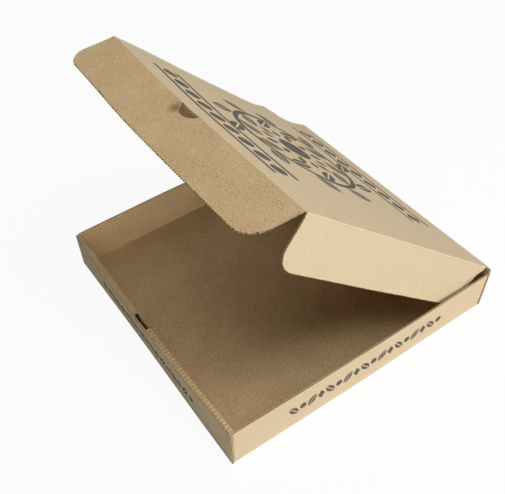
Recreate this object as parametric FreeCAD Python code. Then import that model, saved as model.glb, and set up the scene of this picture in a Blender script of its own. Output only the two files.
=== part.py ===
import FreeCAD, Part
import math
import os

from FreeCAD import Vector

# Pizza box folded from one corrugated blank, lid propped open.
# Origin: centre of the footprint on the surface the box stands on.
# +X is the right side wall, -Y is the double front wall, +Z is up.

# Board
board = 1.6
fold_inner_radius = 0.4
layer_gap = 0.6

# Tray
box_width = 305.0
box_depth = 305.0
side_height = 45.0
hinge_height = 51.0
front_wall_depth = 6.0
inner_panel_end_gap = 0.6
floor_gap = 0.4

# Corner tabs of the side walls
front_tab_length = 62.0
rear_tab_length = 46.0
tab_bottom = 2.4
tab_top_gap = 0.5
tab_corner_radius = 9.0

# Lock tabs of the rolled-over front
lock_tab_width = 30.0
lock_tab_spacing = 152.0
lock_slot_clearance = 0.5

# Thumb notch in the rolled-over front
thumb_notch_width = 24.0
thumb_notch_sag = 5.0

# Lid and its flaps
lid_side_clearance = 0.7
lid_length = 295.5
flap_depth = 49.0
flap_corner_radius = 21.0
flap_end_taper_deg = 3.0
front_flap_end_gap = 0.8
side_flap_front_gap = 1.4
side_flap_rear_gap = 7.0

# Half-moon finger hole at the middle of the front fold
finger_hole_width = 27.0
finger_hole_depth = 9.0
finger_tongue_depth = 2.0
finger_tongue_gap = 0.8

# Crushed board beside each fold that moves
crease_reach = 1.5
crease_ramp = 0.6
crease_thickness = 0.6
crease_bead_radius = 0.35
crease_gap = 0.1

# Rest pose
lid_open_deg = 42.0
front_flap_fold_deg = 45.5
side_flap_fold_deg = 90.0

half_board = board / 2
half_width = box_width / 2
half_depth = box_depth / 2
bend_radius = fold_inner_radius + half_board
wall_inner = half_width - board
hinge_y = half_depth - half_board
front_inner_y = -half_depth + front_wall_depth
fold_x = wall_inner - lid_side_clearance - half_board
hinge = Vector(0, hinge_y, hinge_height)
front_fold = Vector(0, hinge_y - lid_length, hinge_height)

X = Vector(1, 0, 0)
Y = Vector(0, 1, 0)
Z = Vector(0, 0, 1)


def bent_section(path, normal, thickness=board, inner_radius=fold_inner_radius):
    """Face of a board whose middle line follows the corners in path, with rounded bends."""
    half = thickness / 2
    radius = inner_radius + half
    sides = []
    for side in (half, -half):
        edges = []
        start = None
        for index in range(len(path) - 1):
            before = (path[index + 1] - path[index]).normalize()
            across = normal.cross(before)
            if start is None:
                start = path[0] + across * side
            if index == len(path) - 2:
                edges.append(Part.LineSegment(start, path[-1] + across * side).toShape())
                break
            after = (path[index + 2] - path[index + 1]).normalize()
            across_after = normal.cross(after)
            turn = before.getAngle(after)
            sense = 1 if normal.dot(before.cross(after)) > 0 else -1
            back_off = radius * math.tan(turn / 2)
            corner = path[index + 1]
            centre = corner - before * back_off + across * (sense * radius)
            bend_start = corner - before * back_off + across * side
            bend_end = corner + after * back_off + across_after * side
            outward = (corner - centre).normalize()
            middle = centre + outward * (radius - sense * side)
            edges.append(Part.LineSegment(start, bend_start).toShape())
            edges.append(Part.Arc(bend_start, middle, bend_end).toShape())
            start = bend_end
        sides.append(edges)
    first = Part.LineSegment(sides[0][0].Vertexes[0].Point, sides[1][0].Vertexes[0].Point).toShape()
    last = Part.LineSegment(sides[0][-1].Vertexes[-1].Point, sides[1][-1].Vertexes[-1].Point).toShape()
    return Part.Face(Part.Wire(sides[0] + [last] + sides[1][::-1] + [first]))


def box_between(low, high):
    """Box from its lowest corner to its highest."""
    size = high - low
    return Part.makeBox(size.x, size.y, size.z, low)


def mirrored(shape):
    """The same shape on the other side of the box."""
    return shape.mirror(Vector(0, 0, 0), X)


def circle_segment(width, depth, centre, along, out, thickness):
    """Plate with the shape of a circle segment, its chord centred on centre."""
    half = width / 2
    chord_start = centre - along * half
    chord_end = centre + along * half
    arc = Part.Arc(chord_start, centre + out * depth, chord_end).toShape()
    chord = Part.LineSegment(chord_end, chord_start).toShape()
    up = along.cross(out)
    face = Part.Face(Part.Wire([arc, chord]))
    face.translate(up * (-thickness / 2))
    return face.extrude(up * thickness)


def crease_strip(origin, along, out, length, end):
    """Crushed board from the full thickness down to a thin web at a fold line."""
    up = along.cross(out)
    thin = crease_thickness / 2
    ramp_end = crease_reach - crease_ramp
    section = [
        (crease_reach, half_board),
        (crease_reach, -half_board),
        (ramp_end, -thin),
        (end, -thin),
        (end, thin),
        (ramp_end, thin),
    ]
    corners = [origin + out * distance + up * height for distance, height in section]
    face = Part.Face(Part.makePolygon(corners + corners[:1]))
    return face.extrude(along * length)


def bead(origin, along, length):
    """Rounded end of the web, on the fold line itself."""
    return Part.makeCylinder(crease_bead_radius, length, origin, along)


def front_and_back():
    """Inner front panel, top strip, outer front panel, floor and back wall in one folded run."""
    inner_y = front_inner_y - half_board
    outer_y = -half_depth + half_board
    path = [
        Vector(-half_width, inner_y, board + floor_gap),
        Vector(-half_width, inner_y, side_height - half_board),
        Vector(-half_width, outer_y, side_height - half_board),
        Vector(-half_width, outer_y, half_board),
        Vector(-half_width, hinge_y, half_board),
        Vector(-half_width, hinge_y, hinge_height - crease_reach),
    ]
    return bent_section(path, X).extrude(X * box_width)


def strip_end_trims():
    """What the top strip and the inner front panel lack at their two ends."""
    end = wall_inner - inner_panel_end_gap
    low = Vector(end, -half_depth + board, board)
    high = Vector(half_width + board, front_inner_y + board, side_height + board)
    trim = box_between(low, high)
    return trim.fuse(mirrored(trim))


def floor_side_trims():
    """What the floor gives up so that the side walls can bend out of it."""
    reach = half_width - bend_radius
    low = Vector(reach, -half_depth + board + layer_gap, -board)
    high = Vector(half_width + board, half_depth - board, board * 2)
    trim = box_between(low, high)
    return trim.fuse(mirrored(trim))


def side_walls():
    """Both side walls with the floor between them, folded up from the floor."""
    centre_x = half_width - half_board
    front_y = -half_depth + board + layer_gap
    rear_y = half_depth - board - layer_gap
    path = [
        Vector(-centre_x, front_y, side_height),
        Vector(-centre_x, front_y, half_board),
        Vector(centre_x, front_y, half_board),
        Vector(centre_x, front_y, side_height),
    ]
    walls = bent_section(path, Y).extrude(Y * (rear_y - front_y))
    corner = bend_radius + half_board
    for low_y, high_y in ((front_y - board, front_y + corner), (rear_y - corner, rear_y + board)):
        low = Vector(wall_inner - fold_inner_radius, low_y, tab_bottom)
        high = Vector(half_width + board, high_y, side_height + board)
        trim = box_between(low, high)
        walls = walls.cut(trim.fuse(mirrored(trim)))
    return walls


def corner_tab(outer_y, inward, length, top):
    """Tab that turns the corner from the right side wall and lies along the front or back wall."""
    centre_x = half_width - half_board
    centre_y = outer_y + inward * half_board
    run = bend_radius + half_board
    path = [
        Vector(centre_x - length, centre_y, tab_bottom),
        Vector(centre_x, centre_y, tab_bottom),
        Vector(centre_x, centre_y + inward * run, tab_bottom),
    ]
    tab = bent_section(path, Z).extrude(Z * (side_height - tab_bottom))
    side_edge = wall_inner - fold_inner_radius
    above = box_between(
        Vector(0, centre_y - board, top),
        Vector(side_edge, centre_y + board, side_height + board),
    )
    tab = tab.cut(above)
    tip = centre_x - length
    round_off = box_between(
        Vector(tip - board, centre_y - board, top - tab_corner_radius),
        Vector(tip + tab_corner_radius, centre_y + board, top + board),
    )
    disc = Part.makeCylinder(
        tab_corner_radius,
        board * 2,
        Vector(tip + tab_corner_radius, centre_y - board, top - tab_corner_radius),
        Y,
    )
    return tab.cut(round_off.cut(disc))


def lock_tabs():
    """Tabs under the inner front panel that pass through slots in the floor."""
    inner_y = front_inner_y - board
    tabs = []
    for side in (-1, 1):
        low_x = side * lock_tab_spacing / 2 - lock_tab_width / 2
        low = Vector(low_x, inner_y, fold_inner_radius)
        high = Vector(low_x + lock_tab_width, front_inner_y, board + floor_gap * 2)
        tabs.append(box_between(low, high))
    return tabs


def lock_slots():
    """Slots in the floor, wider than the lock tabs by their clearance."""
    inner_y = front_inner_y - board
    margin = Vector(lock_slot_clearance, lock_slot_clearance, 0)
    slots = []
    for side in (-1, 1):
        low_x = side * lock_tab_spacing / 2 - lock_tab_width / 2
        low = Vector(low_x, inner_y, -board) - margin
        high = Vector(low_x + lock_tab_width, front_inner_y, board + floor_gap / 2) + margin
        slots.append(box_between(low, high))
    return slots


def thumb_notch():
    """Notch across the top strip, with a half-moon bite in the inner front panel."""
    half = thumb_notch_width / 2
    low = Vector(-half, -half_depth + board, side_height - board - fold_inner_radius)
    high = Vector(half, front_inner_y + board, side_height + board)
    across = box_between(low, high)
    chord = Vector(0, front_inner_y - half_board, side_height - board)
    bite = circle_segment(thumb_notch_width, thumb_notch_sag, chord, X, -Z, board * 2)
    return across.fuse(bite)


def tray():
    """The lower half of the blank, folded and locked."""
    shape = front_and_back()
    shape = shape.cut(strip_end_trims())
    shape = shape.cut(floor_side_trims())
    shape = shape.fuse(side_walls())
    front_top = side_height - board - tab_top_gap
    front_tab = corner_tab(-half_depth + board + layer_gap, 1, front_tab_length, front_top)
    rear_tab = corner_tab(half_depth - board - layer_gap, -1, rear_tab_length, side_height - tab_top_gap)
    for tab in (front_tab, rear_tab):
        shape = shape.fuse([tab, mirrored(tab)])
    for slot in lock_slots():
        shape = shape.cut(slot)
    shape = shape.fuse(lock_tabs())
    shape = shape.cut(thumb_notch())
    hinge_start = Vector(-half_width, hinge_y, hinge_height)
    web = crease_strip(hinge_start, X, -Z, box_width, 0)
    shape = shape.fuse([web, bead(hinge_start, X, box_width)])
    return shape.removeSplitter()


def lid_panel():
    """Lid between its hinge and its three flaps, closed, with the finger tongue at the front."""
    low = Vector(-fold_x + crease_reach, front_fold.y + crease_reach, hinge_height - half_board)
    high = Vector(fold_x - crease_reach, hinge_y - crease_reach, hinge_height + half_board)
    shape = box_between(low, high)
    web_half = fold_x - crease_reach
    hinge_web = crease_strip(
        hinge + X * web_half, -X, -Y, web_half * 2, crease_bead_radius + crease_gap
    )
    front_web = crease_strip(front_fold - X * web_half, X, Y, web_half * 2, 0)
    front_bead = bead(front_fold - X * web_half, X, web_half * 2)
    side_start = Vector(fold_x, front_fold.y + side_flap_front_gap, hinge_height)
    side_length = lid_length - side_flap_front_gap - crease_reach
    side_web = crease_strip(side_start, Y, -X, side_length, 0)
    side_bead = bead(side_start, Y, side_length)
    front_edge = front_web.fuse(front_bead).cut(finger_hole(0))
    pieces = [hinge_web, front_edge, finger_tongue()]
    for piece in (side_web, side_bead):
        pieces += [piece, mirrored(piece)]
    return shape.fuse(pieces).removeSplitter()


def finger_hole(depth):
    """Cutter for the half-moon hole, on both sides of the front fold."""
    half = finger_hole_width / 2
    low = Vector(-half, front_fold.y - crease_bead_radius * 2, hinge_height - board)
    high = Vector(half, front_fold.y + crease_reach, hinge_height + board)
    cutter = box_between(low, high)
    if depth > 0:
        moon = circle_segment(finger_hole_width, depth, front_fold, -X, -Y, board * 2)
        cutter = cutter.fuse(moon)
    return cutter


def finger_tongue():
    """Edge of the lid that bulges a little into the half-moon hole."""
    width = finger_hole_width - finger_tongue_gap * 2
    half = width / 2
    low = Vector(-half, front_fold.y, hinge_height - half_board)
    high = Vector(half, front_fold.y + crease_reach, hinge_height + half_board)
    bulge = circle_segment(width, finger_tongue_depth, front_fold, -X, -Y, board)
    return box_between(low, high).fuse(bulge)


def flap_plate(origin, along, out, length):
    """Flap laid flat beyond its fold, with tapered ends and round corners, and its own web."""
    up = along.cross(out)
    web_start = crease_bead_radius + crease_gap
    lean = math.radians(flap_end_taper_deg)
    radius = flap_corner_radius
    centre_out = flap_depth - radius
    centre_along = (radius + centre_out * math.sin(lean)) / math.cos(lean)

    def point(distance, depth):
        return origin + along * distance + out * depth - up * half_board

    def end_at(depth):
        return depth * math.tan(lean)

    first_touch = point(centre_along - radius * math.cos(lean), centre_out + radius * math.sin(lean))
    corner_angle = (math.pi / 2 + lean) / 2
    first_middle = point(
        centre_along - radius * math.cos(corner_angle),
        centre_out + radius * math.sin(corner_angle),
    )
    far_centre = length - centre_along
    last_middle = point(
        far_centre + radius * math.cos(corner_angle),
        centre_out + radius * math.sin(corner_angle),
    )
    last_touch = point(far_centre + radius * math.cos(lean), centre_out + radius * math.sin(lean))
    inner_start = point(end_at(crease_reach), crease_reach)
    inner_end = point(length - end_at(crease_reach), crease_reach)
    bottom_start = point(centre_along, flap_depth)
    bottom_end = point(far_centre, flap_depth)
    edges = [
        Part.LineSegment(inner_start, first_touch).toShape(),
        Part.Arc(first_touch, first_middle, bottom_start).toShape(),
        Part.LineSegment(bottom_start, bottom_end).toShape(),
        Part.Arc(bottom_end, last_middle, last_touch).toShape(),
        Part.LineSegment(last_touch, inner_end).toShape(),
        Part.LineSegment(inner_end, inner_start).toShape(),
    ]
    plate = Part.Face(Part.Wire(edges)).extrude(up * board)
    web = crease_strip(
        origin + along * end_at(crease_reach), along, out, length - 2 * end_at(crease_reach), web_start
    )
    return plate.fuse(web)


def front_flap():
    """Tuck flap at the front of the lid, laid flat, with the half-moon finger hole."""
    length = 2 * (fold_x - front_flap_end_gap)
    origin = front_fold + X * (length / 2)
    plate = flap_plate(origin, -X, -Y, length)
    return plate.cut(finger_hole(finger_hole_depth)).removeSplitter()


def side_flap():
    """Dust flap at the right side of the lid, laid flat."""
    length = lid_length - side_flap_front_gap - side_flap_rear_gap
    origin = Vector(fold_x, front_fold.y + side_flap_front_gap, hinge_height)
    return flap_plate(origin, Y, X, length).removeSplitter()


def folded(flap, point, axis, angle):
    """A flap turned down about its fold line."""
    turned = flap.copy()
    turned.rotate(point, axis, angle)
    return turned


def opened(shape):
    """A piece of the lid swung up with it about the hinge."""
    swung = shape.copy()
    swung.rotate(hinge, -X, lid_open_deg)
    return swung


def all_parts():
    """Every node of the box at its rest pose."""
    right_point = Vector(fold_x, 0, hinge_height)
    left_point = Vector(-fold_x, 0, hinge_height)
    right = side_flap()
    left = mirrored(right)
    return {
        "tray": tray(),
        "lid": opened(lid_panel()),
        "front_flap": opened(folded(front_flap(), front_fold, X, front_flap_fold_deg)),
        "right_flap": opened(folded(right, right_point, Y, side_flap_fold_deg)),
        "left_flap": opened(folded(left, left_point, -Y, side_flap_fold_deg)),
    }


os.makedirs("parts", exist_ok=True)
for name, shape in all_parts().items():
    shape.exportStep(f"parts/{name}.step")
    print(name, "valid", shape.isValid(), "solids", len(shape.Solids), "volume", round(shape.Volume))
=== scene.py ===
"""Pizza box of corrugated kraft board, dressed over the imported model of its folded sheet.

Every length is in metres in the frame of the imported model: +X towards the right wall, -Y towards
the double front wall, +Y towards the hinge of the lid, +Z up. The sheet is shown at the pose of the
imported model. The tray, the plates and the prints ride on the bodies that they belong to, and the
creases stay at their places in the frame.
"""
import logging
import math
from dataclasses import dataclass
from enum import Enum
from functools import partial
from typing import Callable, Iterable, Optional, Sequence

import bmesh
import bpy
from mathutils import Matrix, Vector, noise


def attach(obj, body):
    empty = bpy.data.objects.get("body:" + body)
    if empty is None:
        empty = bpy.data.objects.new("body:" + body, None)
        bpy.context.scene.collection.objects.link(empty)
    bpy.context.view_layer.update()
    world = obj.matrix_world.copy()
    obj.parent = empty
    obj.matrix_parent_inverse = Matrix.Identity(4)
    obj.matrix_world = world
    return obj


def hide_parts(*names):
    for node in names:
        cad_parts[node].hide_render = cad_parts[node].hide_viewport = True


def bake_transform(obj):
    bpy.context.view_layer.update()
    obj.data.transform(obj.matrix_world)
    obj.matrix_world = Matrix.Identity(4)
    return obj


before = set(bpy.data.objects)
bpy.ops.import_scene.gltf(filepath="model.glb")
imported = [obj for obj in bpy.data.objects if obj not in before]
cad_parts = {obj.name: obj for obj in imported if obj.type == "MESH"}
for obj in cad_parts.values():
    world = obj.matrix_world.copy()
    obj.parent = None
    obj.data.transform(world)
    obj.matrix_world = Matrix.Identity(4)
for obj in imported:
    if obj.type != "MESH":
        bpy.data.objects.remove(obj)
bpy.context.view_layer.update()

LOG = logging.getLogger("pizza_box")

MM = 0.001
X = Vector((1.0, 0.0, 0.0))
Y = Vector((0.0, 1.0, 0.0))
Z = Vector((0.0, 0.0, 1.0))

Span = tuple[float, float]
Shift = Callable[[Vector], Vector]


# ------------------------------------------------------------------ sizes of the sheet


@dataclass(frozen=True)
class Board:
    """Corrugated board of one fluted layer between two liners."""

    thickness: float = 1.6 * MM
    flute_pitch: float = 4.15 * MM
    liner: float = 0.24 * MM

    @property
    def half(self) -> float:
        """Distance from the middle of the board to its face."""
        return self.thickness / 2


@dataclass(frozen=True)
class BoxSizes:
    """Sizes of the folded box that the pieces are set out from."""

    half_width: float = 152.5 * MM
    half_depth: float = 152.5 * MM
    side_height: float = 45.0 * MM
    hinge_height: float = 51.0 * MM
    hinge_y: float = 151.7 * MM
    wall_inner: float = 150.9 * MM
    tab_middle_y: float = 149.5 * MM
    front_inner_y: float = -146.5 * MM
    lid_length: float = 295.5 * MM
    fold_x: float = 149.4 * MM
    flap_depth: float = 49.0 * MM
    lid_open: float = math.radians(42.0)
    front_fold: float = math.radians(45.5)
    finger_hole_half: float = 13.5 * MM


BOARD = Board()
SIZES = BoxSizes()


class Finish(Enum):
    """Faces of the board, in the order of a piece's material slots."""

    OUTER = 0
    INNER = 1
    EDGE = 2


@dataclass(frozen=True)
class Panel:
    """Flat region of the sheet, with the directions that its patterns follow."""

    origin: Vector
    across: Vector
    along: Vector
    out: Vector
    outer: Finish = Finish.OUTER
    inner: Finish = Finish.INNER

    def at(self, across: float, along: float, out: float = 0.0) -> Vector:
        """Point of the frame from distances in the panel."""
        return self.origin + self.across * across + self.along * along + self.out * out

    def place(self, point: Vector) -> Vector:
        """Distances across, along and out of the panel to a point of the frame."""
        gap = point - self.origin
        return Vector((gap.dot(self.across), gap.dot(self.along), gap.dot(self.out)))


def lid_directions() -> tuple[Vector, Vector]:
    """Direction from the hinge to the front of the lid, and the lid's outward normal."""
    c, s = math.cos(SIZES.lid_open), math.sin(SIZES.lid_open)
    return Vector((0.0, -c, s)), Vector((0.0, s, c))


GRID = 6 * MM
SHARP_CORNER = math.radians(38)
BOARD_MAP = "Board"
HINGE = Vector((0.0, SIZES.hinge_y, SIZES.hinge_height))
LID_ALONG, LID_OUT = lid_directions()
FRONT_FOLD = HINGE + LID_ALONG * SIZES.lid_length
FLAP_ALONG = LID_ALONG * math.cos(SIZES.front_fold) - LID_OUT * math.sin(SIZES.front_fold)
FLAP_OUT = LID_OUT * math.cos(SIZES.front_fold) + LID_ALONG * math.sin(SIZES.front_fold)

LID_PANEL = Panel(HINGE, X, LID_ALONG, LID_OUT)
FRONT_FLAP_PANEL = Panel(FRONT_FOLD, X, FLAP_ALONG, FLAP_OUT, Finish.INNER, Finish.INNER)
RIGHT_FLAP_PANEL = Panel(HINGE + X * SIZES.fold_x, -LID_OUT, LID_ALONG, X)
LEFT_FLAP_PANEL = Panel(HINGE - X * SIZES.fold_x, -LID_OUT, LID_ALONG, -X)


# ------------------------------------------------------------------ how the sheet has bent


def bell(value: float, middle: float, width: float) -> float:
    """Bell curve of height 1."""
    return math.exp(-(((value - middle) / width) ** 2))


def ease(value: float, start: float, end: float) -> float:
    """Smooth step from 0 at start to 1 at end."""
    t = min(1.0, max(0.0, (value - start) / (end - start)))
    return t * t * (3 - 2 * t)


def front_layer(point: Vector) -> float:
    """Distance of a point from the outer face of the double front wall."""
    return point.y + SIZES.half_depth


@dataclass(frozen=True)
class Bend:
    """How far the handled box has left its flat panels.

    A field that ends in _at is the middle and the width of a bell curve, and one that ends in _span
    is the start and the end of a smooth step.
    """

    ripple: float = 0.35 * MM
    ripple_length: float = 70 * MM
    crease_span: Span = (2 * MM, 24 * MM)

    front_layers: float = 6.4 * MM
    front_lean: float = 3.7 * MM
    front_lean_middle: float = -12 * MM
    inner_share: float = 0.6
    inner_span: Span = (BOARD.thickness, 6 * MM)
    notch_slide: float = 3.5 * MM
    notch_at: Span = (0.0, 60 * MM)
    right_bow: float = 1.2 * MM
    left_bow: float = 1.8 * MM
    wall_span: Span = (120 * MM, SIZES.wall_inner)
    foot_front: float = 2.0 * MM
    foot_right: float = 2.4 * MM
    foot_back: float = 4.0 * MM
    foot_span: Span = (95 * MM, SIZES.half_width)
    rightward_span: Span = (-60 * MM, SIZES.half_width)
    backward_span: Span = (-40 * MM, SIZES.half_depth)
    corner_drop: float = 1.6 * MM
    corner_from: tuple[float, float, float] = (147.8 * MM, 150 * MM, 44 * MM)

    lid_free_span: Span = (0.0, 12 * MM)
    lid_edge_reach: float = 60 * MM
    lid_edge_sag: float = 1.6 * MM
    lid_edge_sag_at: Span = (95 * MM, 45 * MM)
    lid_corner_sag: float = 3.4 * MM
    lid_corner_sag_at: Span = (30 * MM, 30 * MM)
    lid_buckle: float = 2.4 * MM
    lid_buckle_at: Span = (76 * MM, 9 * MM)
    lid_second_buckle_at: Span = (58 * MM, 7 * MM)
    lid_front_lift: float = 4.0 * MM
    lid_front_lift_span: Span = (150 * MM, SIZES.lid_length)
    flap_stiffness: float = 0.9
    flap_stiff_span: Span = (2 * MM, 35 * MM)

    flap_curl: float = 3.0 * MM
    flap_curl_span: Span = (-10 * MM, SIZES.fold_x)
    hole_slide: float = 6.0 * MM
    hole_slide_at: Span = (0.0, 75 * MM)
    hole_slide_span: Span = (190 * MM, 285 * MM)
    hole_dent: float = 1.8 * MM
    hole_dent_across: Span = (-15 * MM, 7 * MM)
    hole_dent_along: Span = (8 * MM, 6 * MM)
    hole_dent_span: Span = (0.0, 8 * MM)
    wall_dent: float = 3.0 * MM
    wall_dent_y_span: Span = (86 * MM, 140 * MM)
    wall_dent_z_span: Span = (56 * MM, 45 * MM)
    wall_dent_depth_span: Span = (2 * MM, 7 * MM)

    def waves(self, point: Vector) -> Vector:
        """Slow unevenness that every panel has, fading out beside the folds that move."""
        lid = LID_PANEL.place(point)
        from_hinge = math.hypot(point.y - HINGE.y, point.z - HINGE.z)
        from_front = math.hypot(lid.y - SIZES.lid_length, lid.z)
        from_side = math.hypot(SIZES.fold_x - abs(lid.x), lid.z)
        free = ease(min(from_hinge, from_front, from_side), *self.crease_span)
        return noise.noise_vector(point / self.ripple_length) * (self.ripple * free)

    def tray(self, point: Vector) -> Vector:
        """Shift of a point of the tray.

        Args:
            point: where the flat sheet has it.

        Returns:
            The shift, in metres.
        """
        lift = min(1.0, max(0.0, point.z / SIZES.side_height))
        shift = self.waves(point) * lift + self.foot(point) * (1 - lift)
        run = point.y / SIZES.half_depth
        bow = lift * max(0.0, 1 - run * run)
        shift.x += bow * self.right_bow * ease(point.x, *self.wall_span)
        shift.x -= bow * self.left_bow * ease(-point.x, *self.wall_span)
        if front_layer(point) < self.front_layers:
            shift.x -= self.notch_slide * bell(point.x, *self.notch_at) * lift
            shift.y -= self.lean_out(point, lift)
        corner_x, corner_y, corner_z = self.corner_from
        if point.y > corner_y and point.z > corner_z:
            shift.z -= self.corner_drop * ease(-point.x, corner_x, SIZES.half_width)
        return shift

    def foot(self, point: Vector) -> Vector:
        """Where the foot of the walls stands, off its square place by a few millimetres."""
        forward = self.foot_front * ease(-point.y, *self.foot_span)
        forward += self.foot_back * ease(point.y, *self.foot_span)
        leftward = self.foot_right * ease(point.x, *self.foot_span)
        leftward *= ease(point.y, *self.backward_span)
        return Vector((-leftward, -forward * ease(point.x, *self.rightward_span), 0.0))

    def lean_out(self, point: Vector, lift: float) -> float:
        """How far the double front wall leans out at a point.

        Args:
            point: a point of the front wall.
            lift: its height as a share of the wall.

        Returns:
            The distance towards the front.
        """
        share = 1 - (1 - self.inner_share) * ease(front_layer(point), *self.inner_span)
        half_run = SIZES.half_width - abs(self.front_lean_middle)
        side = (point.x - self.front_lean_middle) / half_run
        return self.front_lean * share * max(0.0, 1 - side * side) ** 0.8 * lift**1.3

    def lid(self, point: Vector) -> Vector:
        """Shift of a point of the lid or of its side flaps.

        Args:
            point: where the flat sheet has it.

        Returns:
            The shift, in metres.
        """
        place = LID_PANEL.place(point)
        near_left = ease(-place.x, SIZES.fold_x - self.lid_edge_reach, SIZES.fold_x)
        sag = self.lid_edge_sag * bell(place.y, *self.lid_edge_sag_at)
        sag += self.lid_corner_sag * bell(place.y, *self.lid_corner_sag_at)
        rise = self.lid_buckle * bell(place.y, *self.lid_buckle_at)
        rise += self.lid_buckle / 2 * bell(place.y, *self.lid_second_buckle_at)
        edge = (rise * near_left - sag) * near_left * ease(place.y, *self.lid_free_span)
        lift = self.lid_front_lift * ease(place.y, *self.lid_front_lift_span)
        lift *= ease(-place.x, 0.0, SIZES.fold_x)
        on_flap = place.y <= SIZES.lid_length
        stiff = self.flap_stiffness * ease(-place.z, *self.flap_stiff_span) if on_flap else 0.0
        shift = LID_OUT * ((edge + lift) * (1 - stiff)) + self.waves(point)
        slide = bell(place.x, *self.hole_slide_at) * ease(place.y, *self.hole_slide_span)
        shift.x -= self.hole_slide * slide
        return shift

    def front_flap(self, point: Vector) -> Vector:
        """Shift of a point of the front flap, with the soft dent beside the finger hole."""
        place = FRONT_FLAP_PANEL.place(point)
        dent = bell(place.x, *self.hole_dent_across) * bell(place.y, *self.hole_dent_along)
        dent *= ease(place.y, *self.hole_dent_span)
        curl = ease(-place.x, *self.flap_curl_span)
        curl *= max(0.0, place.y / SIZES.flap_depth) ** 1.5
        return self.lid(point) + FLAP_OUT * (curl * self.flap_curl - dent * self.hole_dent)

    def right_flap(self, point: Vector) -> Vector:
        """Shift of a point of the right flap, pressed in by the wall and the wall's foot."""
        place = RIGHT_FLAP_PANEL.place(point)
        by_wall = self.wall_dent * ease(place.x, *self.wall_dent_depth_span)
        by_wall *= ease(point.y, *self.wall_dent_y_span) * ease(point.z, *self.wall_dent_z_span)
        by_foot = self.foot_right * ease(HINGE.y - place.y, *self.backward_span)
        by_foot *= min(1.0, place.x / SIZES.side_height)
        return self.lid(point) - X * max(by_wall, by_foot)


BEND = Bend()


# ------------------------------------------------------------------ shader helpers

BACKGROUND = "ShaderNodeBackground"
BUMP = "ShaderNodeBump"
COORDINATES = "ShaderNodeTexCoord"
LIGHT_PATH = "ShaderNodeLightPath"
MAP_RANGE = "ShaderNodeMapRange"
MATH = "ShaderNodeMath"
MIX_COLOURS = "ShaderNodeMix"
MIX_SHADERS = "ShaderNodeMixShader"
NOISE = "ShaderNodeTexNoise"
PRINCIPLED = "ShaderNodeBsdfPrincipled"
SURFACE_OUT = "ShaderNodeOutputMaterial"
UV_MAP = "ShaderNodeUVMap"


def linear(colour: str) -> tuple[float, float, float, float]:
    """Turn an sRGB hex colour into linear light.

    Args:
        colour: six hex digits.

    Returns:
        Red, green, blue and alpha.
    """
    parts = [int(colour[i : i + 2], 16) / 255 for i in (0, 2, 4)]
    light = [p / 12.92 if p <= 0.04045 else ((p + 0.055) / 1.055) ** 2.4 for p in parts]
    return (light[0], light[1], light[2], 1.0)


def add_node(
    tree: bpy.types.NodeTree, kind: str, inputs: Optional[dict] = None, **settings: object
) -> bpy.types.Node:
    """Add one node with its settings, constants and links.

    Args:
        tree: node tree that gets it.
        kind: the node's type name.
        inputs: name or number of an input in use, to its constant, to the socket that feeds it, or
            to the node whose first output in use feeds it.
        settings: the node's attributes.

    Returns:
        The node.
    """
    node = tree.nodes.new(kind)
    for name, value in settings.items():
        setattr(node, name, value)
    free = [socket for socket in node.inputs if socket.enabled]
    for key, value in (inputs or {}).items():
        socket = free[key] if isinstance(key, int) else next(s for s in free if s.name == key)
        if isinstance(value, bpy.types.Node):
            value = next(output for output in value.outputs if output.enabled)
        if isinstance(value, bpy.types.NodeSocket):
            tree.links.new(value, socket)
        else:
            socket.default_value = value
    return node


def new_material(name: str) -> tuple[bpy.types.Material, bpy.types.NodeTree]:
    """Empty node material and its tree."""
    material = bpy.data.materials.new(name)
    material.use_nodes = True
    material.node_tree.nodes.clear()
    return material, material.node_tree


# ------------------------------------------------------------------ finishes

PAPER_IOR = 1.45
FLUTE_TURN = 2 * math.pi / BOARD.flute_pitch


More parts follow.
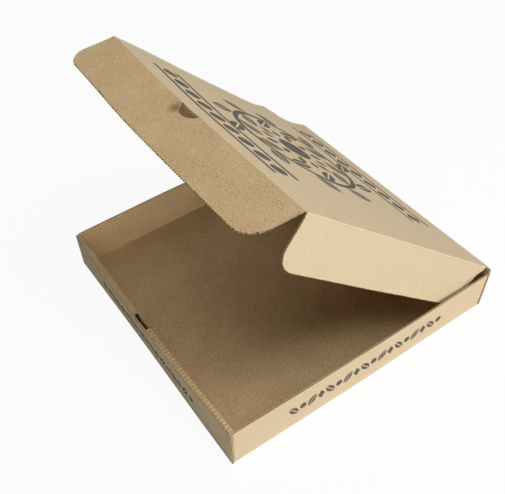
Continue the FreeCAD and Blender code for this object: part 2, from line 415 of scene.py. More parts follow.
@dataclass(frozen=True)
class KraftLiner:
    """Kraft liner, machine-made paper: matt, with fibres, mottling and a few dark specks.

    The eye sees cloudy patches of 10 to 30 mm, a grain of about 1 mm, short fibres that lie mostly
    across the flutes, and the flutes themselves as faint stripes of painted shade from the
    washboard relief. A liner can also have a round patch of painted shade about one point.
    """

    name: str
    base: str
    light: str
    dark: str
    speck: str
    cloud: float = 16 * MM
    cloud_strength: float = 0.35
    grain: float = 0.9 * MM
    grain_strength: float = 0.35
    fibre_width: float = 0.5 * MM
    fibre_length: float = 2.4 * MM
    fibre_share: float = 0.45
    # Strength of the painted shade of the washboard: faint dark stripes along the flutes.
    flute_shade_stripe: float = 0.05
    speck_gap: float = 7.0 * MM
    speck_size: float = 0.075
    speck_floor: float = 0.45
    speck_strength: float = 0.55
    relief: float = 0.16 * MM
    relief_strength: float = 0.35
    roughness: float = 0.88
    roughness_swing: float = 0.07
    # Painted shade: a round darkening about one point, darkest at the point and gone at the reach.
    painted_shade_at: Optional[Vector] = None
    painted_shade_tone: str = "6B5236"
    painted_shade_reach: float = 10 * MM
    painted_shade_strength: float = 0.75

    def build(self) -> bpy.types.Material:
        """Make the material."""
        material, tree = new_material(self.name)
        add = partial(add_node, tree)
        place = add(COORDINATES).outputs["Object"]
        surface = add(UV_MAP, uv_map=BOARD_MAP)
        patches = {"Scale": 1 / self.cloud, "Detail": 3.0, "Roughness": 0.55}
        clouds = add(NOISE, {"Vector": place, **patches})
        dots = {"Scale": 1 / self.grain, "Detail": 4.0, "Roughness": 0.7}
        grain = add(NOISE, {"Vector": place, **dots})
        stretch = (1 / self.fibre_length, 1 / self.fibre_width, 1.0)
        stretched = add("ShaderNodeMapping", {"Vector": surface, "Scale": stretch})
        threads = {"Scale": 1.0, "Detail": 3.0, "Distortion": 0.6}
        fibres = add(NOISE, {"Vector": stretched, **threads})
        across = add("ShaderNodeSeparateXYZ", {0: surface})
        phase = add(MATH, {0: across, 1: FLUTE_TURN}, operation="MULTIPLY")
        wave = add(MATH, {0: phase}, operation="SINE")
        layers = [
            (clouds, 0.3, 0.7, self.cloud_strength, self.light),
            (grain, 0.5, 0.64, self.grain_strength, self.dark),
            (grain, 0.5, 0.36, self.grain_strength, self.light),
            (fibres, 0.58, 0.74, self.grain_strength * self.fibre_share, self.dark),
            # Painted shade of the washboard relief, as faint dark stripes along the flutes.
            (wave, -1.0, 1.0, self.flute_shade_stripe, self.dark),
            (self.specks(tree, place), 0.0, 1.0, self.speck_strength, self.speck),
        ]
        # Painted shade: the colour goes towards the shade tone nearer the point.
        if self.painted_shade_at is not None:
            ends = {0: place, 1: self.painted_shade_at}
            away = add("ShaderNodeVectorMath", ends, operation="DISTANCE")
            layers.append((away, self.painted_shade_reach, 0.0, self.painted_shade_strength, self.painted_shade_tone))
        colour = linear(self.base)
        for source, start, end, strength, tone in layers:
            rise = {"Value": source, "From Min": start, "From Max": end, "To Max": strength}
            share = add(MAP_RANGE, rise, interpolation_type="SMOOTHSTEP")
            tones = {"Factor": share, "A": colour, "B": linear(tone)}
            colour = add(MIX_COLOURS, tones, data_type="RGBA")
        height = 0.0
        for source, weight in ((grain, 0.5), (fibres, 0.4), (wave, 0.12)):
            height = add(MATH, {0: source, 1: weight, 2: height}, operation="MULTIPLY_ADD")
        depth = {"Strength": self.relief_strength, "Distance": self.relief}
        bump = add(BUMP, {**depth, "Height": height})
        low, high = self.roughness - self.roughness_swing, self.roughness + self.roughness_swing
        rough = add(MAP_RANGE, {"Value": grain, "To Min": low, "To Max": high})
        look = {"Base Color": colour, "Roughness": rough, "Normal": bump}
        shader = add(PRINCIPLED, {**look, "IOR": PAPER_IOR, "Specular IOR Level": 0.3})
        add(SURFACE_OUT, {0: shader})
        return material

    def specks(self, tree: bpy.types.NodeTree, place: bpy.types.NodeSocket) -> bpy.types.Node:
        """Dots of uneven size in about half of the cells of a random pattern."""
        add = partial(add_node, tree)
        spread = {"Vector": place, "Scale": 1 / self.speck_gap, "Randomness": 1.0}
        cells = add("ShaderNodeTexVoronoi", spread, feature="F1").outputs
        pick = add("ShaderNodeSeparateColor", {0: cells["Color"]})
        size = add(MATH, {0: pick, 1: self.speck_size}, operation="MULTIPLY")
        inside = add(MATH, {0: cells["Distance"], 1: size}, operation="LESS_THAN")
        chosen = add(MATH, {0: pick, 1: self.speck_floor}, operation="GREATER_THAN")
        return add(MATH, {0: inside, 1: chosen}, operation="MULTIPLY")


@dataclass(frozen=True)
class CutEdge:
    """Die-cut edge of corrugated board: two pale liners with the flutes between, and painted shade
    in the hollows of the flutes.
    """

    name: str = "cut_edge_of_board"
    paper: str = "D8C09A"
    # Painted shade: the dark colour of the hollows between the flutes.
    cavity_shade: str = "7A6040"
    wall: float = 0.2 * MM
    fray: float = 0.8 * MM
    wander: float = 0.5 * MM
    shade: float = 0.4
    relief: float = 0.4 * MM
    relief_strength: float = 0.7

    def build(self) -> bpy.types.Material:
        """Make the material."""
        material, tree = new_material(self.name)
        add = partial(add_node, tree)
        surface = add(UV_MAP, uv_map=BOARD_MAP)
        place = add(COORDINATES).outputs["Object"]
        along, depth, _out = add("ShaderNodeSeparateXYZ", {0: surface}).outputs
        fray = add(NOISE, {"Vector": place, "Scale": 1 / self.fray, "Detail": 3.0})
        off = add(MATH, {0: fray, 1: 0.5}, operation="SUBTRACT")
        depth = add(MATH, {0: off, 1: self.wander, 2: depth}, operation="MULTIPLY_ADD")
        phase = add(MATH, {0: along, 1: FLUTE_TURN}, operation="MULTIPLY")
        wave = add(MATH, {0: phase}, operation="SINE")
        swing = BOARD.half - BOARD.liner - self.wall / 2
        middle = add(MATH, {0: wave, 1: swing}, operation="MULTIPLY")
        gap = add(MATH, {0: depth, 1: middle}, operation="SUBTRACT")
        papers = []
        for source, start, end in (
            (gap, self.wall * 1.6, self.wall * 0.6),
            (depth, BOARD.half - BOARD.liner * 1.4, BOARD.half - BOARD.liner * 0.7),
        ):
            distance = add(MATH, {0: source}, operation="ABSOLUTE")
            fall = {"Value": distance, "From Min": start, "From Max": end}
            papers.append(add(MAP_RANGE, fall, interpolation_type="SMOOTHSTEP"))
        paper = add(MATH, {0: papers[0], 1: papers[1]}, operation="MAXIMUM")
        # Pale paper where the liners and the flute walls are, and painted shade in the hollows
        # between them.
        tones = {"Factor": paper, "A": linear(self.cavity_shade), "B": linear(self.paper)}
        colour = add(MIX_COLOURS, tones, data_type="RGBA")
        # Painted shade: the fray noise darkens patches of the edge towards the shade of the
        # hollows.
        rise = {"Value": fray, "From Min": 0.45, "From Max": 0.75, "To Max": self.shade}
        shade = add(MAP_RANGE, rise, interpolation_type="SMOOTHSTEP")
        tones = {"Factor": shade, "A": colour, "B": linear(self.cavity_shade)}
        colour = add(MIX_COLOURS, tones, data_type="RGBA")
        relief = {"Strength": self.relief_strength, "Distance": self.relief}
        bump = add(BUMP, {**relief, "Height": paper})
        look = {"Base Color": colour, "Roughness": 0.95, "Normal": bump}
        shader = add(PRINCIPLED, {**look, "IOR": PAPER_IOR, "Specular IOR Level": 0.2})
        add(SURFACE_OUT, {0: shader})
        return material


@dataclass(frozen=True)
class PrintingInk:
    """Flexographic ink: a thin matt dark grey that lets the grain of the kraft paper through."""

    name: str = "flexo_ink"
    ink: str = "55524A"
    paper: str = "A8987C"
    grain: float = 0.8 * MM
    bare_share: float = 0.75

    def build(self) -> bpy.types.Material:
        """Make the material."""
        material, tree = new_material(self.name)
        add = partial(add_node, tree)
        place = add(COORDINATES).outputs["Object"]
        dots = {"Scale": 1 / self.grain, "Detail": 4.0, "Roughness": 0.7}
        grain = add(NOISE, {"Vector": place, **dots})
        rise = {"Value": grain, "From Min": 0.5, "From Max": 0.75, "To Max": self.bare_share}
        gaps = add(MAP_RANGE, rise, interpolation_type="SMOOTHSTEP")
        tones = {"Factor": gaps, "A": linear(self.ink), "B": linear(self.paper)}
        colour = add(MIX_COLOURS, tones, data_type="RGBA")
        look = {"Base Color": colour, "Roughness": 0.8}
        shader = add(PRINCIPLED, {**look, "IOR": PAPER_IOR, "Specular IOR Level": 0.3})
        add(SURFACE_OUT, {0: shader})
        return material


OUTER_KRAFT = KraftLiner(
    "outer_kraft_liner",
    base="D9C4A2",
    light="DECBA9",
    dark="BCA57F",
    speck="8F8676",
    grain=1.5 * MM,
    grain_strength=0.42,
    flute_shade_stripe=0.03,
)
INNER_KRAFT = KraftLiner(
    "inner_kraft_liner",
    base="C7AA7E",
    light="DFC69D",
    dark="9F825A",
    speck="74603F",
    cloud=30 * MM,
    grain=1.2 * MM,
    grain_strength=0.62,
    flute_shade_stripe=0.04,
    # Painted shade beside the finger hole of the front flap, standing for the shade at its crushed
    # rim.
    painted_shade_at=FRONT_FLAP_PANEL.at(-18 * MM, 7.5 * MM, BOARD.half),
)


@dataclass
class Finishes:
    """The materials of the box, made once."""

    outer: bpy.types.Material
    inner: bpy.types.Material
    edge: bpy.types.Material
    ink: bpy.types.Material

    @classmethod
    def make(cls) -> "Finishes":
        """Build every material."""
        makers = (OUTER_KRAFT, INNER_KRAFT, CutEdge(), PrintingInk())
        return cls(*(maker.build() for maker in makers))

    def board(self) -> list[bpy.types.Material]:
        """Slots of a piece of board, in the order of Finish."""
        return [self.outer, self.inner, self.edge]


# ------------------------------------------------------------------ mesh helpers


Mesh = bmesh.types.BMesh
Face = bmesh.types.BMFace
FaceTest = Callable[[Face], bool]
PanelFinish = tuple[Panel, Finish]

MERGE_GAP = 0.002 * MM
CUT_GAP = 0.001 * MM
FLAT_ANGLE = math.radians(0.5)


def copy_of_node(node: str) -> Mesh:
    """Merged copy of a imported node's mesh, with its flat regions joined up."""
    mesh = bmesh.new()
    mesh.from_mesh(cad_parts[node].data)
    bmesh.ops.remove_doubles(mesh, verts=mesh.verts, dist=MERGE_GAP)
    bmesh.ops.dissolve_limit(
        mesh, angle_limit=FLAT_ANGLE, verts=mesh.verts, edges=mesh.edges, delimit={"NORMAL"}
    )
    return mesh


def slice_mesh(
    mesh: Mesh,
    origin: Vector,
    direction: Vector,
    distances: Iterable[float],
    wanted: Optional[FaceTest] = None,
) -> None:
    """Cut edges into a mesh at planes, so that it can bend.

    Args:
        mesh: mesh to cut.
        origin: point that the distances start from.
        direction: normal of the planes.
        distances: where the planes lie along the direction.
        wanted: test that picks the faces to cut, or None for all.
    """
    faces = [f for f in mesh.faces if wanted is None or wanted(f)]
    corners = list({v for f in faces for v in f.verts})
    geometry = corners + list({e for f in faces for e in f.edges}) + faces
    for distance in distances:
        place = origin + direction * distance
        geometry = bmesh.ops.bisect_plane(
            mesh, geom=geometry, dist=CUT_GAP, plane_co=place, plane_no=direction
        )["geom"]


def grid_lines(start: float, end: float, size: float) -> list[float]:
    """Whole multiples of size between two ends, so that pieces that meet are cut alike."""
    first, last = math.ceil(start / size), math.floor(end / size)
    return [size * i for i in range(first, last + 1) if start < size * i < end]


def slice_panel(
    mesh: Mesh, panel: Panel, size: float = GRID, wanted: Optional[FaceTest] = None
) -> None:
    """Cut a mesh on a grid across and along the flutes of its panel."""
    for direction in (panel.across, panel.along):
        reach = [(v.co - panel.origin).dot(direction) for v in mesh.verts]
        lines = grid_lines(min(reach), max(reach), size)
        slice_mesh(mesh, panel.origin, direction, lines, wanted)


def sharpen(mesh: Mesh, angle: float = SHARP_CORNER) -> None:
    """Shade a mesh smoothly, with its real corners kept sharp."""
    for face in mesh.faces:
        face.smooth = True
    for edge in mesh.edges:
        if len(edge.link_faces) == 2:
            edge.smooth = edge.calc_face_angle(0.0) < angle


def lay_pattern(mesh: Mesh, panel_of: Callable[[Face], PanelFinish]) -> None:
    """Give every face its finish, and its place on the sheet in metres as the UV map.

    On a liner the map holds the distance across and along the flutes. On a cut edge it holds the
    distance across the flutes and the distance from the middle of the board.

    Args:
        mesh: mesh at its flat place.
        panel_of: the panel and finish of a face.
    """
    layer = mesh.loops.layers.uv.new(BOARD_MAP)
    for face in mesh.faces:
        panel, finish = panel_of(face)
        face.material_index = finish.value
        for loop in face.loops:
            place = panel.place(loop.vert.co)
            loop[layer].uv = (place.x, place.z if finish is Finish.EDGE else place.y)


def bend_mesh(mesh: Mesh, shift: Shift) -> None:
    """Move every vertex by the shift at its flat place."""
    for vertex in mesh.verts:
        vertex.co = vertex.co + shift(vertex.co)


def finish_piece(
    mesh: Mesh, name: str, materials: Sequence[bpy.types.Material]
) -> bpy.types.Object:
    """Turn a bmesh into an object of the scene, at the origin, and free it.

    Args:
        mesh: the finished mesh.
        name: name of the object.
        materials: its material slots.

    Returns:
        The object.
    """
    data = bpy.data.meshes.new(name)
    mesh.to_mesh(data)
    mesh.free()
    for material in materials:
        data.materials.append(material)
    piece = bpy.data.objects.new(name, data)
    bpy.context.scene.collection.objects.link(piece)
    LOG.info("%s: %d faces", name, len(data.polygons))
    return piece


def panel_side(panel: Panel, face: Face) -> PanelFinish:
    """Panel and finish of a face by the way it faces: a liner, or a cut edge."""
    facing = face.normal.dot(panel.out)
    if abs(facing) <= 0.5:
        return panel, Finish.EDGE
    return panel, panel.outer if facing > 0 else panel.inner


# ------------------------------------------------------------------ tray


class Tray:
    """Lower half of the sheet: floor, four walls, the roll-over front and the tabs inside it."""

    slack: float = 0.1 * MM
    front_depth: float = 6.1 * MM
    inner_front_from: float = 4.2 * MM
    foot_bend: float = 3 * MM
    strip_bend: float = 2.4 * MM
    rib_depth: float = 1.2 * MM
    rib_height: float = 0.3 * MM
    rib_rows: float = 0.425 * MM
    rib_patch: float = 11 * MM
    rib_fade: Span = (-40 * MM, 15 * MM)

    def __init__(self, finishes: Finishes) -> None:
        """Keep the finishes and set out the panels."""
        self.finishes = finishes
        half, tab_y = BOARD.half, SIZES.tab_middle_y
        middle_x, middle_y = SIZES.half_width - half, SIZES.half_depth - half
        inner_y, top = SIZES.front_inner_y - half, SIZES.side_height - half
        bare = (Finish.INNER, Finish.INNER)
        self.floor = Panel(Vector((0, 0, half)), X, Y, -Z)
        self.right = Panel(Vector((middle_x, 0, 0)), Z, Y, X)
        self.left = Panel(Vector((-middle_x, 0, 0)), Z, Y, -X)
        self.back = Panel(Vector((0, middle_y, 0)), X, Z, Y)
        self.front = Panel(Vector((0, -middle_y, 0)), X, Z, -Y)
        self.inner_front = Panel(Vector((0, inner_y, 0)), X, Z, Y, *bare)
        self.strip = Panel(Vector((0, 0, top)), X, Y, Z, *bare)
        self.front_tab = Panel(Vector((0, -tab_y, 0)), Z, X, Y, *bare)
        self.rear_tab = Panel(Vector((0, tab_y, 0)), Z, X, -Y, *bare)

    def panel_at(self, point: Vector) -> Panel:
        """Panel that a point of the tray belongs to."""
        depth, board, slack = front_layer(point), BOARD.thickness, self.slack
        near_top = point.z > SIZES.side_height - board - 2 * slack
        if near_top and depth < self.front_depth:
            if depth > board or abs(point.x) < SIZES.wall_inner:
                return self.strip
        if depth < board + 2 * slack:
            return self.front
        if SIZES.half_depth - point.y < board + 2 * slack:
            return self.back
        if point.z < board + slack:
            return self.floor
        if abs(point.x) > SIZES.wall_inner - slack:
            return self.right if point.x > 0 else self.left
        if self.inner_front_from < depth < self.front_depth:
            return self.inner_front
        return self.front_tab if point.y < 0 else self.rear_tab

    def panel_of(self, face: Face) -> PanelFinish:
        """Panel and finish of a face of the tray."""
        centre = face.calc_center_median()
        panel = self.panel_at(centre)
        on_bend = max(abs(part) for part in face.normal) <= 0.999
        if on_bend and centre.z < self.foot_bend and panel.outer is Finish.OUTER:
            outward = face.normal.dot(Vector((centre.x, centre.y, -0.1)))
            return panel, Finish.OUTER if outward > 0 else Finish.INNER
        panel, finish = panel_side(panel, face)
        if on_bend and panel is self.front and finish is Finish.EDGE:
            finish = Finish.OUTER
        return panel, finish

    def on_front(self, point: Vector, depth: float) -> bool:
        """Whether a point is at the top of the double front wall, down to a depth."""
        in_wall = point.y < SIZES.front_inner_y + self.slack
        return in_wall and point.z > SIZES.side_height - depth

    def is_strip(self, face: Face) -> bool:
        """Whether a face lies on the roll-over strip or its bends."""
        return self.on_front(face.calc_center_median(), self.strip_bend)

    def ribs(self, point: Vector) -> Vector:
        """Shift that sinks the board between the flutes under the crushed strip."""
        wave = math.sin(2 * math.pi * point.x / BOARD.flute_pitch)
        if wave >= 0 or not self.on_front(point, self.rib_depth):
            return Vector()
        uneven = 0.8 + 0.4 * noise.noise(Vector((point.x / self.rib_patch, 3.0, 0.0)))
        uneven *= 0.25 + 0.75 * ease(point.x, *self.rib_fade)
        return Z * (-2 * self.rib_height * uneven * abs(wave) ** 0.7)

    def build(self) -> bpy.types.Object:
        """Make the tray and let it ride on its body."""
        mesh = copy_of_node("tray")
        lay_pattern(mesh, self.panel_of)
        reach = (-SIZES.half_width, SIZES.half_width)
        for direction in (X, Y, Z):
            slice_mesh(mesh, Vector(), direction, grid_lines(*reach, GRID))
        slice_mesh(mesh, Vector(), X, grid_lines(*reach, self.rib_rows * 2), self.is_strip)
        sharpen(mesh)
        bend_mesh(mesh, lambda point: BEND.tray(point) + self.ribs(point))
        piece = finish_piece(mesh, "folded_tray", self.finishes.board())
        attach(piece, "tray")
        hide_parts("tray")
        return piece


# ------------------------------------------------------------------ lid and flaps


@dataclass
class LidPlate:
    """Flat plate of the lid or of one of its flaps."""

    finishes: Finishes
    node: str
    name: str
    slot: str
    panel: Panel
    shift: Shift
    toothed: bool = True
    rim_from: float = 2.5 * MM
    tooth_pitch: float = 3.0 * MM
    tooth_height: float = 1.0 * MM
    tooth_patch: float = 5 * MM

    def panel_of(self, face: Face) -> PanelFinish:
        """Panel and finish of a face of the plate."""
        return panel_side(self.panel, face)

    def is_rim(self, face: Face) -> bool:
        """Whether a face is on the flap's cut rim, away from its fold."""
        depth = self.panel.place(face.calc_center_median())
        from_fold = depth.y if self.node == "front_flap" else depth.x
        return face.material_index == Finish.EDGE.value and from_fold > self.rim_from

    def cut_teeth(self, mesh: Mesh) -> None:
        """Give the rim the small teeth that the cutting rule leaves."""
        slice_panel(mesh, self.panel, self.tooth_pitch / 2, self.is_rim)
        mesh.normal_update()
        moves: dict[bmesh.types.BMVert, Vector] = {}
        for face in filter(self.is_rim, mesh.faces):
            for vertex in face.verts:
                moves.setdefault(vertex, Vector())
                moves[vertex] += face.normal
        for vertex, normal in moves.items():
            place = self.panel.place(vertex.co)
            upright = abs(normal.dot(self.panel.along)) > abs(normal.dot(self.panel.across))
            run = (place.x if upright else place.y) / self.tooth_pitch
            tooth = abs((run % 1.0) * 2 - 1) - 1
            uneven = 1 + 0.5 * noise.noise(vertex.co / self.tooth_patch)
            vertex.co = vertex.co + normal.normalized() * (tooth * uneven * self.tooth_height)

    def build(self) -> bpy.types.Object:
        """Make the plate and let it ride on its body."""
        mesh = copy_of_node(self.node)
        lay_pattern(mesh, self.panel_of)
        slice_panel(mesh, self.panel)
        if self.toothed:
            self.cut_teeth(mesh)
        sharpen(mesh)
        bend_mesh(mesh, self.shift)
        piece = finish_piece(mesh, self.name, self.finishes.board())
        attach(piece, self.node)
        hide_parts(self.node)
        return piece


@dataclass
class Crease:
    """Unbroken liners round a fold that moves, from one panel to the next."""

    finishes: Finishes
    name: str
    bodies: tuple[str, str]
    axis_point: Vector
    axis: Vector
    first: Panel
    first_away: Vector
    second: Panel
    second_away: Vector
    span: Span
    shift: Shift
    slot: str
    outer_second: Finish = Finish.OUTER
    reach: float = 1.55 * MM
    tuck: float = 0.5 * MM
    tuck_inset: float = 0.2 * MM
    crushed: Span = (0.9 * MM, 0.5 * MM)
    crushed_corner: float = 0.42 * MM
    arc_steps: int = 6
    sharp: float = math.radians(50)

    def section(self) -> list[tuple[Vector, Finish]]:
        """Corners of the crease across its fold, with the finish of the side after each one."""
        half, root = BOARD.half, BOARD.half - self.tuck_inset
        near, far = self.reach, self.reach + self.tuck
        along, inset = self.crushed
        a, b = self.first_away, self.second_away
        out_a, out_b = self.first.out, self.second.out
        outside = [(a * far + out_a * root, Finish.OUTER), (a * near + out_a * half, Finish.OUTER)]
        turns = out_a.angle(out_b) > 0.01
        for share in (index / self.arc_steps for index in range(self.arc_steps + 1)):
            direction = out_a.slerp(out_b, share) if turns else out_a
            outside.append((direction * half, Finish.OUTER if share < 0.5 else self.outer_second))
        outside.append((b * near + out_b * half, self.outer_second))
        inside = (
            b * far + out_b * root,
            b * far - out_b * root,
            b * near - out_b * half,
            b * along - out_b * inset,
            (a + b).normalized() * self.crushed_corner,
            a * along - out_a * inset,
            a * near - out_a * half,
            a * far - out_a * root,
        )
        return outside + [(corner, Finish.INNER) for corner in inside]

    def paint(self, mesh: Mesh, corners: Sequence[tuple[Vector, Finish]]) -> None:
        """Give every face of the straight crease its finish and its place on the sheet."""
        layer = mesh.loops.layers.uv.new(BOARD_MAP)
        following = [*corners[1:], corners[0]]
        middles = [(one[0] + two[0]) / 2 for one, two in zip(corners, following)]
        for face in mesh.faces:
            centre = face.calc_center_median() - self.axis_point
            flat = centre - self.axis * centre.dot(self.axis)
            gaps = [(middle - flat).length for middle in middles]
            is_end = abs(face.normal.dot(self.axis)) > 0.9
            finish = Finish.EDGE if is_end else corners[gaps.index(min(gaps))][1]
            face.material_index = finish.value
            on_first = flat.dot(self.first_away) > flat.dot(self.second_away)
            panel = self.first if on_first else self.second
            for loop in face.loops:
                loop[layer].uv = panel.place(loop.vert.co).xy

    def build(self) -> bpy.types.Object:
        """Make the crease and keep it at its place in the frame."""
        mesh = bmesh.new()
        start, end = self.span
        corners = self.section()
        base = self.axis_point + self.axis * start
        cap = mesh.faces.new([mesh.verts.new(base + place) for place, _finish in corners])
        grown = bmesh.ops.extrude_face_region(mesh, geom=[cap])["geom"]
        moved = [item for item in grown if isinstance(item, bmesh.types.BMVert)]
        bmesh.ops.translate(mesh, verts=moved, vec=self.axis * (end - start))
        mesh.normal_update()
        bmesh.ops.recalc_face_normals(mesh, faces=mesh.faces)
        mesh.normal_update()
        self.paint(mesh, corners)
        slice_mesh(mesh, self.axis_point, self.axis, grid_lines(start, end, GRID))
        sharpen(mesh, self.sharp)
        bend_mesh(mesh, self.shift)
        piece = finish_piece(mesh, self.name, self.finishes.board())
        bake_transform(piece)
        return piece


class Lid:
    """Lid with its three flaps and the creases that they fold on."""

    hinge_span: Span = (-147.8 * MM, 147.8 * MM)
    side_span: Span = (7.2 * MM, SIZES.lid_length - 1.6 * MM)
    front_end: float = SIZES.fold_x - 1.0 * MM

    def __init__(self, finishes: Finishes) -> None:
        """Keep the finishes."""
        self.finishes = finishes

    def plates(self) -> list[LidPlate]:
        """The lid and its flaps."""
        tuck, dust = "front_flap_board", "side_flap_board"
        rows = (
            ("lid", "lid_top", "lid_board", LID_PANEL, BEND.lid, False),
            ("front_flap", "tuck_flap", tuck, FRONT_FLAP_PANEL, BEND.front_flap),
            ("right_flap", "right_dust_flap", dust, RIGHT_FLAP_PANEL, BEND.right_flap),
            ("left_flap", "left_dust_flap", dust, LEFT_FLAP_PANEL, BEND.lid),
        )
        return [LidPlate(self.finishes, *row) for row in rows]

    def creases(self) -> list[Crease]:
        """The folds between the tray, the lid and the flaps."""
        lid, front, end, hole = BEND.lid, BEND.front_flap, self.front_end, SIZES.finger_hole_half
        wall = Panel(HINGE, X, Z, Y)
        hinge = (HINGE, X, wall, -Z, LID_PANEL, LID_ALONG, self.hinge_span, lid, "lid_board")
        rows = [("hinge_crease", ("tray", "lid"), *hinge)]
        for side, panel in (("right", RIGHT_FLAP_PANEL), ("left", LEFT_FLAP_PANEL)):
            fold = (panel.origin, LID_ALONG, LID_PANEL, -panel.out, panel, -LID_OUT)
            bodies = ("lid", f"{side}_flap")
            ends = (self.side_span, lid, "side_flap_board")
            rows.append((f"{side}_flap_crease", bodies, *fold, *ends))
        for side, span in (("left", (-end, -hole)), ("right", (hole, end))):
            fold = (FRONT_FOLD, X, LID_PANEL, -LID_ALONG, FRONT_FLAP_PANEL, FLAP_ALONG)
            bodies = ("lid", "front_flap")
            ends = (span, front, "front_flap_board", Finish.INNER)
            rows.append((f"front_crease_{side}", bodies, *fold, *ends))
        return [Crease(self.finishes, *row) for row in rows]

    def build(self) -> None:
        """Make every plate and crease."""
        for part in (*self.plates(), *self.creases()):
            part.build()


# ------------------------------------------------------------------ print


def polar(radius: float, angle: float) -> Span:
    """Place at a distance and an angle."""
    return radius * math.cos(angle), radius * math.sin(angle)


@dataclass
class PrintedShapes:
    """Flat printed shapes on one panel, with a hair of thickness so that they lie on the paper."""

    finishes: Finishes
    name: str
    body: str
    slot: str
    panel: Panel
    shift: Shift
    raised: float = 0.08 * MM

    def __post_init__(self) -> None:
        """Start with an empty mesh."""
        self.mesh = bmesh.new()

    def outline(self, at: Span, points: Sequence[Span], turn: float = 0.0) -> None:
        """Add one filled outline.

        Args:
            at: its centre, across and along the flutes.
            points: corners about the centre, in order.
            turn: angle that it is turned by.
        """
        c, s = math.cos(turn), math.sin(turn)
        height = BOARD.half + self.raised
        spots = [(at[0] + u * c - v * s, at[1] + u * s + v * c) for u, v in points]
        ring = [self.mesh.verts.new(self.panel.at(*spot, height)) for spot in spots]
        self.mesh.faces.new(ring)

    def leaf(self, at: Span, length: float, width: float, turn: float) -> None:
        """Add a pointed leaf, as two halves with a bare midrib between them."""
        rib, belly = width * 0.07, width / 2 - width * 0.07
        for side in (1, -1):
            shares = [i / 10 for i in range(1, 10)]
            edge = [
                (length * (t - 0.5), side * (rib + belly * math.sin(math.pi * t) ** 0.8))
                for t in shares
            ]
            points = edge + [(length * 0.5, side * rib), (-length * 0.5, side * rib)]
            self.outline(at, points if side > 0 else points[::-1], turn)

    def disc(self, at: Span, radius: float, corners: int = 20) -> None:
        """Add a filled round."""
        self.outline(at, [polar(radius, 2 * math.pi * i / corners) for i in range(corners)])

    def bar(self, at: Span, length: float, width: float) -> None:
        """Add a straight bar across the flutes."""
        u, v = length / 2, width / 2
        self.outline(at, [(-u, -v), (u, -v), (u, v), (-u, v)])

    def diamond(self, at: Span, length: float, width: float, turn: float = 0.0) -> None:
        """Add a diamond."""
        u, v = length / 2, width / 2
        self.outline(at, [(-u, 0), (0, -v), (u, 0), (0, v)], turn)

    def ring(self, at: Span, radius: float, width: float, pieces: int = 30) -> None:
        """Add a ring, as straight pieces that meet."""
        inner, outer = radius - width / 2, radius + width / 2
        for i in range(pieces):
            a, b = 2 * math.pi * i / pieces, 2 * math.pi * (i + 1) / pieces
            self.outline(at, [polar(outer, a), polar(outer, b), polar(inner, b), polar(inner, a)])

    def build(self) -> bpy.types.Object:
        """Give the shapes their thickness, bend them with the sheet and let them ride."""
        mesh = self.mesh
        bmesh.ops.remove_doubles(mesh, verts=mesh.verts, dist=CUT_GAP)
        mesh.normal_update()
        layer = mesh.loops.layers.uv.new(BOARD_MAP)
        for face in mesh.faces:
            if face.normal.dot(self.panel.out) < 0:
                face.normal_flip()
            for loop in face.loops:
                loop[layer].uv = self.panel.place(loop.vert.co).xy
        slice_panel(mesh, self.panel)
        bend_mesh(mesh, self.shift)
        grown = bmesh.ops.extrude_face_region(mesh, geom=list(mesh.faces), use_keep_orig=True)
        lower = [item for item in grown["geom"] if isinstance(item, bmesh.types.BMVert)]
        bmesh.ops.translate(mesh, verts=lower, vec=self.panel.out * (-2 * self.raised))
        bmesh.ops.recalc_face_normals(mesh, faces=mesh.faces)
        piece = finish_piece(mesh, self.name, [self.finishes.ink])
        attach(piece, self.body)
        return piece


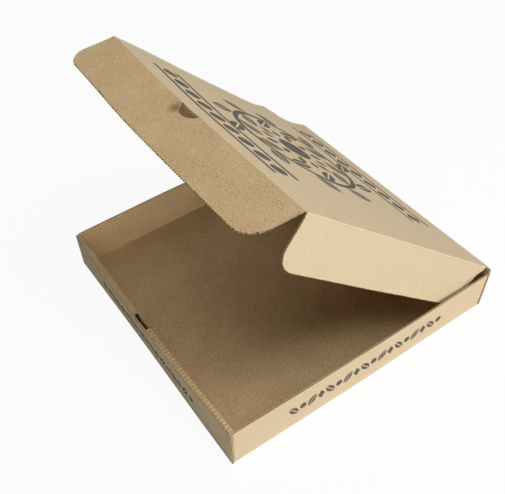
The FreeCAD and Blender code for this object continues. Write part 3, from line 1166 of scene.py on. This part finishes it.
class Prints:
    """Plain ornaments in dark grey: a leaf wreath on the lid and rows of shapes on two walls."""

    wreath_at: Span = (-12 * MM, 152 * MM)
    wreath_radius: float = 66 * MM
    leaves: int = 20
    rays: int = 12
    lid_pitch: float = 22 * MM
    bars: tuple[float, ...] = (-122 * MM, -91 * MM, 118 * MM, 90 * MM)
    wall_reach: float = 92 * MM
    wall_height: float = 23 * MM
    wall_pitch: float = 10.5 * MM

    def __init__(self, finishes: Finishes) -> None:
        """Keep the finishes."""
        self.finishes = finishes

    def lid_wreath(self) -> None:
        """Wreath of leaves round a sun, between a row of diamonds and a row of rounds."""
        ink = PrintedShapes(self.finishes, "lid_print", "lid", "lid_board", LID_PANEL, BEND.lid)
        middle = Vector(self.wreath_at)
        ink.ring(middle, self.wreath_radius, 6 * MM)
        for i in range(self.leaves):
            angle, side = 2 * math.pi * i / self.leaves, 1 if i % 2 else -1
            at = middle + Vector(polar(self.wreath_radius + side * 14 * MM, angle))
            ink.leaf(at, 28 * MM, 15 * MM, angle + math.pi / 2 + side * 0.75)
        ink.disc(middle, 18 * MM, 36)
        for i in range(self.rays):
            angle = 2 * math.pi * i / self.rays
            reach, size = (33 * MM, 20 * MM) if i % 2 else (31 * MM, 15 * MM)
            ink.diamond(middle + Vector(polar(reach, angle)), size, 10 * MM, angle)
        for i in range(-4, 5):
            run = middle.x + i * self.lid_pitch
            ink.diamond((run, middle.y - 106 * MM), 20 * MM, 20 * MM)
            ink.disc((run, middle.y + 104 * MM), 8 * MM)
        for offset in self.bars:
            ink.bar((middle.x, middle.y + offset), 196 * MM, 4.5 * MM)
        ink.build()

    def wall_row(self, name: str, panel: Panel, upright_flutes: bool) -> None:
        """Row of leaves, rounds and diamonds on one wall of the tray.

        Args:
            name: name of the piece.
            panel: the wall.
            upright_flutes: whether the flutes of the wall stand upright.
        """
        ink = PrintedShapes(self.finishes, name, "tray", "tray_board", panel, BEND.tray)
        length = 2 * self.wall_reach
        count = round(length / self.wall_pitch)
        turn = 0.0 if upright_flutes else math.pi / 2
        for i in range(count):
            run, kind = -self.wall_reach + length * (i + 0.5) / count, i % 4
            at = (run, self.wall_height) if upright_flutes else (self.wall_height, run)
            if kind == 1:
                ink.disc(at, 3.6 * MM)
            elif kind == 3:
                ink.diamond(at, 8 * MM, 12 * MM, turn)
            else:
                ink.leaf(at, 15 * MM, 7.5 * MM, turn + (0.9 if kind == 0 else -0.9))
        ink.build()

    def build(self, tray: Tray) -> None:
        """Print the lid, the right wall and the front wall."""
        self.lid_wreath()
        self.wall_row("right_wall_print", tray.right, False)
        self.wall_row("front_wall_print", tray.front, True)


# ------------------------------------------------------------------ studio

WHITE = (1.0, 1.0, 1.0, 1.0)

# Square soft lights: name, place, length of a side in metres, power in watts.
SOFT_BOXES = (
    ("side_box", (2.60, -0.31, 0.62), 1.2, 32.5),
    ("rear_box", (0.78, 0.78, 1.31), 1.1, 12.4),
    ("left_box", (-1.20, 0.0, 1.20), 1.1, 3.2),
    ("front_box", (0.0, -0.70, 1.57), 1.1, 0.5),
    ("top_box", (0.56, 0.0, 1.63), 1.1, 8.0),
)


@dataclass(frozen=True)
class Studio:
    """Camera, soft light and pale floor."""

    camera_at: tuple[float, float, float] = (0.46899, -0.30374, 0.61320)
    azimuth: float = 59.18
    elevation: float = 44.90
    roll: float = -4.87
    focal_px: float = 775.71
    image_width: float = 505.0
    sensor: float = 36.0
    clip: Span = (0.01, 20)
    aim: tuple[float, float, float] = (0.0, 0.0, 0.08)
    air: str = "F4F2F0"
    air_strength: float = 0.05
    floor_paint: str = "EFEDEA"
    floor_glow: float = 0.93
    floor_size: float = 6.0
    floor_drop: float = 0.4 * MM

    def camera(self) -> None:
        """Place the camera at the photograph's view."""
        a, e, r = (math.radians(v) for v in (self.azimuth, self.elevation, self.roll))
        back = Vector((math.sin(a) * math.cos(e), -math.cos(a) * math.cos(e), math.sin(e)))
        side = Z.cross(back).normalized()
        upward = back.cross(side)
        right = side * math.cos(r) + upward * math.sin(r)
        top = upward * math.cos(r) - side * math.sin(r)
        turn = Matrix((right, top, back)).transposed()
        data = bpy.data.cameras.new("view")
        data.sensor_fit = "HORIZONTAL"
        data.sensor_width = self.sensor
        data.lens = self.focal_px / self.image_width * self.sensor
        data.clip_start, data.clip_end = self.clip
        camera = bpy.data.objects.new("view", data)
        camera.matrix_world = Matrix.Translation(Vector(self.camera_at)) @ turn.to_4x4()
        bpy.context.scene.collection.objects.link(camera)
        bpy.context.scene.camera = camera

    def background(self) -> None:
        """White to the camera and in reflections, and a soft even light on the object."""
        world = bpy.data.worlds.new("studio_air")
        world.use_nodes = True
        tree = world.node_tree
        tree.nodes.clear()
        rays = add_node(tree, LIGHT_PATH).outputs
        seen = rays["Is Camera Ray"]
        for kind in ("Is Glossy Ray", "Is Transmission Ray"):
            seen = add_node(tree, MATH, {0: seen, 1: rays[kind]}, operation="MAXIMUM")
        air = {"Color": linear(self.air), "Strength": self.air_strength}
        soft = add_node(tree, BACKGROUND, air)
        white = add_node(tree, BACKGROUND, {"Color": WHITE, "Strength": 1.0})
        mixed = add_node(tree, MIX_SHADERS, {0: seen, 1: soft, 2: white})
        add_node(tree, "ShaderNodeOutputWorld", {0: mixed})
        bpy.context.scene.world = world

    def floor(self) -> None:
        """Pale floor that melts into the white background and keeps a soft shadow."""
        mesh = bmesh.new()
        place = Matrix.Translation((0, 0, -self.floor_drop))
        bmesh.ops.create_grid(mesh, x_segments=1, y_segments=1, size=self.floor_size, matrix=place)
        material, tree = new_material("painted_studio_floor")
        seen = add_node(tree, LIGHT_PATH).outputs["Is Camera Ray"]
        paint = add_node(tree, "ShaderNodeBsdfDiffuse", {"Color": linear(self.floor_paint)})
        glow = add_node(tree, "ShaderNodeEmission", {"Color": WHITE, "Strength": 1.0})
        share = add_node(tree, MATH, {0: seen, 1: self.floor_glow}, operation="MULTIPLY")
        mixed = add_node(tree, MIX_SHADERS, {0: share, 1: paint, 2: glow})
        add_node(tree, SURFACE_OUT, {0: mixed})
        finish_piece(mesh, "studio_floor", [material])

    def lamps(self) -> None:
        """Hang the soft boxes, all white and aimed at the middle of the box."""
        for name, place, size, power in SOFT_BOXES:
            data = bpy.data.lights.new(name, "AREA")
            data.shape = "SQUARE"
            data.size = size
            data.energy = power
            lamp = bpy.data.objects.new(name, data)
            turn = (Vector(place) - Vector(self.aim)).to_track_quat("Z", "Y")
            lamp.matrix_world = Matrix.Translation(Vector(place)) @ turn.to_matrix().to_4x4()
            bpy.context.scene.collection.objects.link(lamp)

    def build(self) -> None:
        """Set up the whole studio."""
        bpy.context.scene.view_settings.view_transform = "Standard"
        self.camera()
        self.background()
        self.floor()
        self.lamps()


def main() -> None:
    """Build the box and its studio, and log the number of faces of every piece."""
    logging.basicConfig(level=logging.INFO, format="%(message)s")
    Studio().build()
    finishes = Finishes.make()
    tray = Tray(finishes)
    tray.build()
    Lid(finishes).build()
    Prints(finishes).build(tray)


if __name__ == "__main__":
    main()
